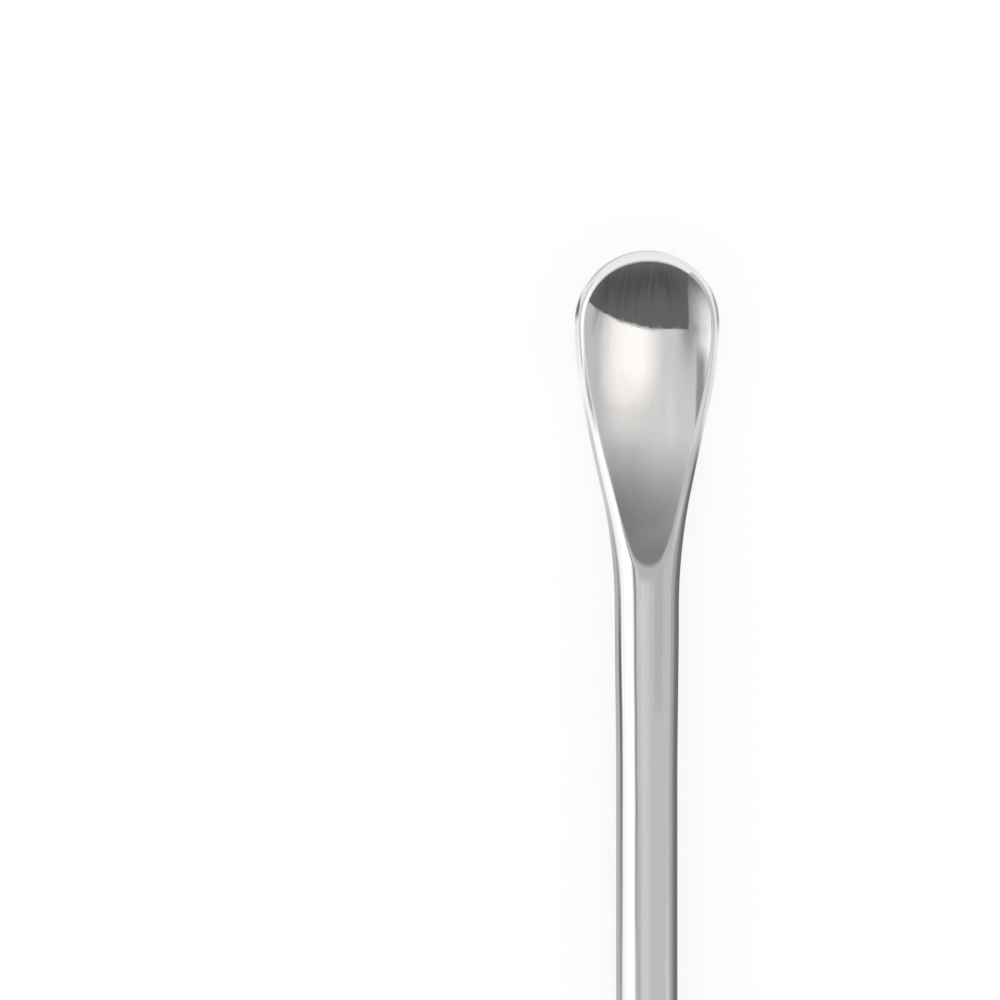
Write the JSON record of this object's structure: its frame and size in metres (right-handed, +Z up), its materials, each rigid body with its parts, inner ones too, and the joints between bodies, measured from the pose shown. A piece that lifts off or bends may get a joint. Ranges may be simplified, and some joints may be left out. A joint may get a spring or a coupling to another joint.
{
  "type": "lab spatula",
  "caption": "Spoon-ended laboratory spatula: a round polished steel shaft forged into a small deep bowl for scooping and transferring powders.",
  "frame": {"origin": "middle of the outline's box, on the surface that the spatula lies on", "axes": "+Y along the shaft towards the tip of the spoon, +Z up out of the open bowl"},
  "size_m": [0.0118, 0.21, 0.005],
  "materials": {
    "polished_steel": "mirror-polished stainless steel, solid, not plated"
  },
  "bodies": {
    "root": {"spatula": "polished_steel"}
  },
  "joints": []
}
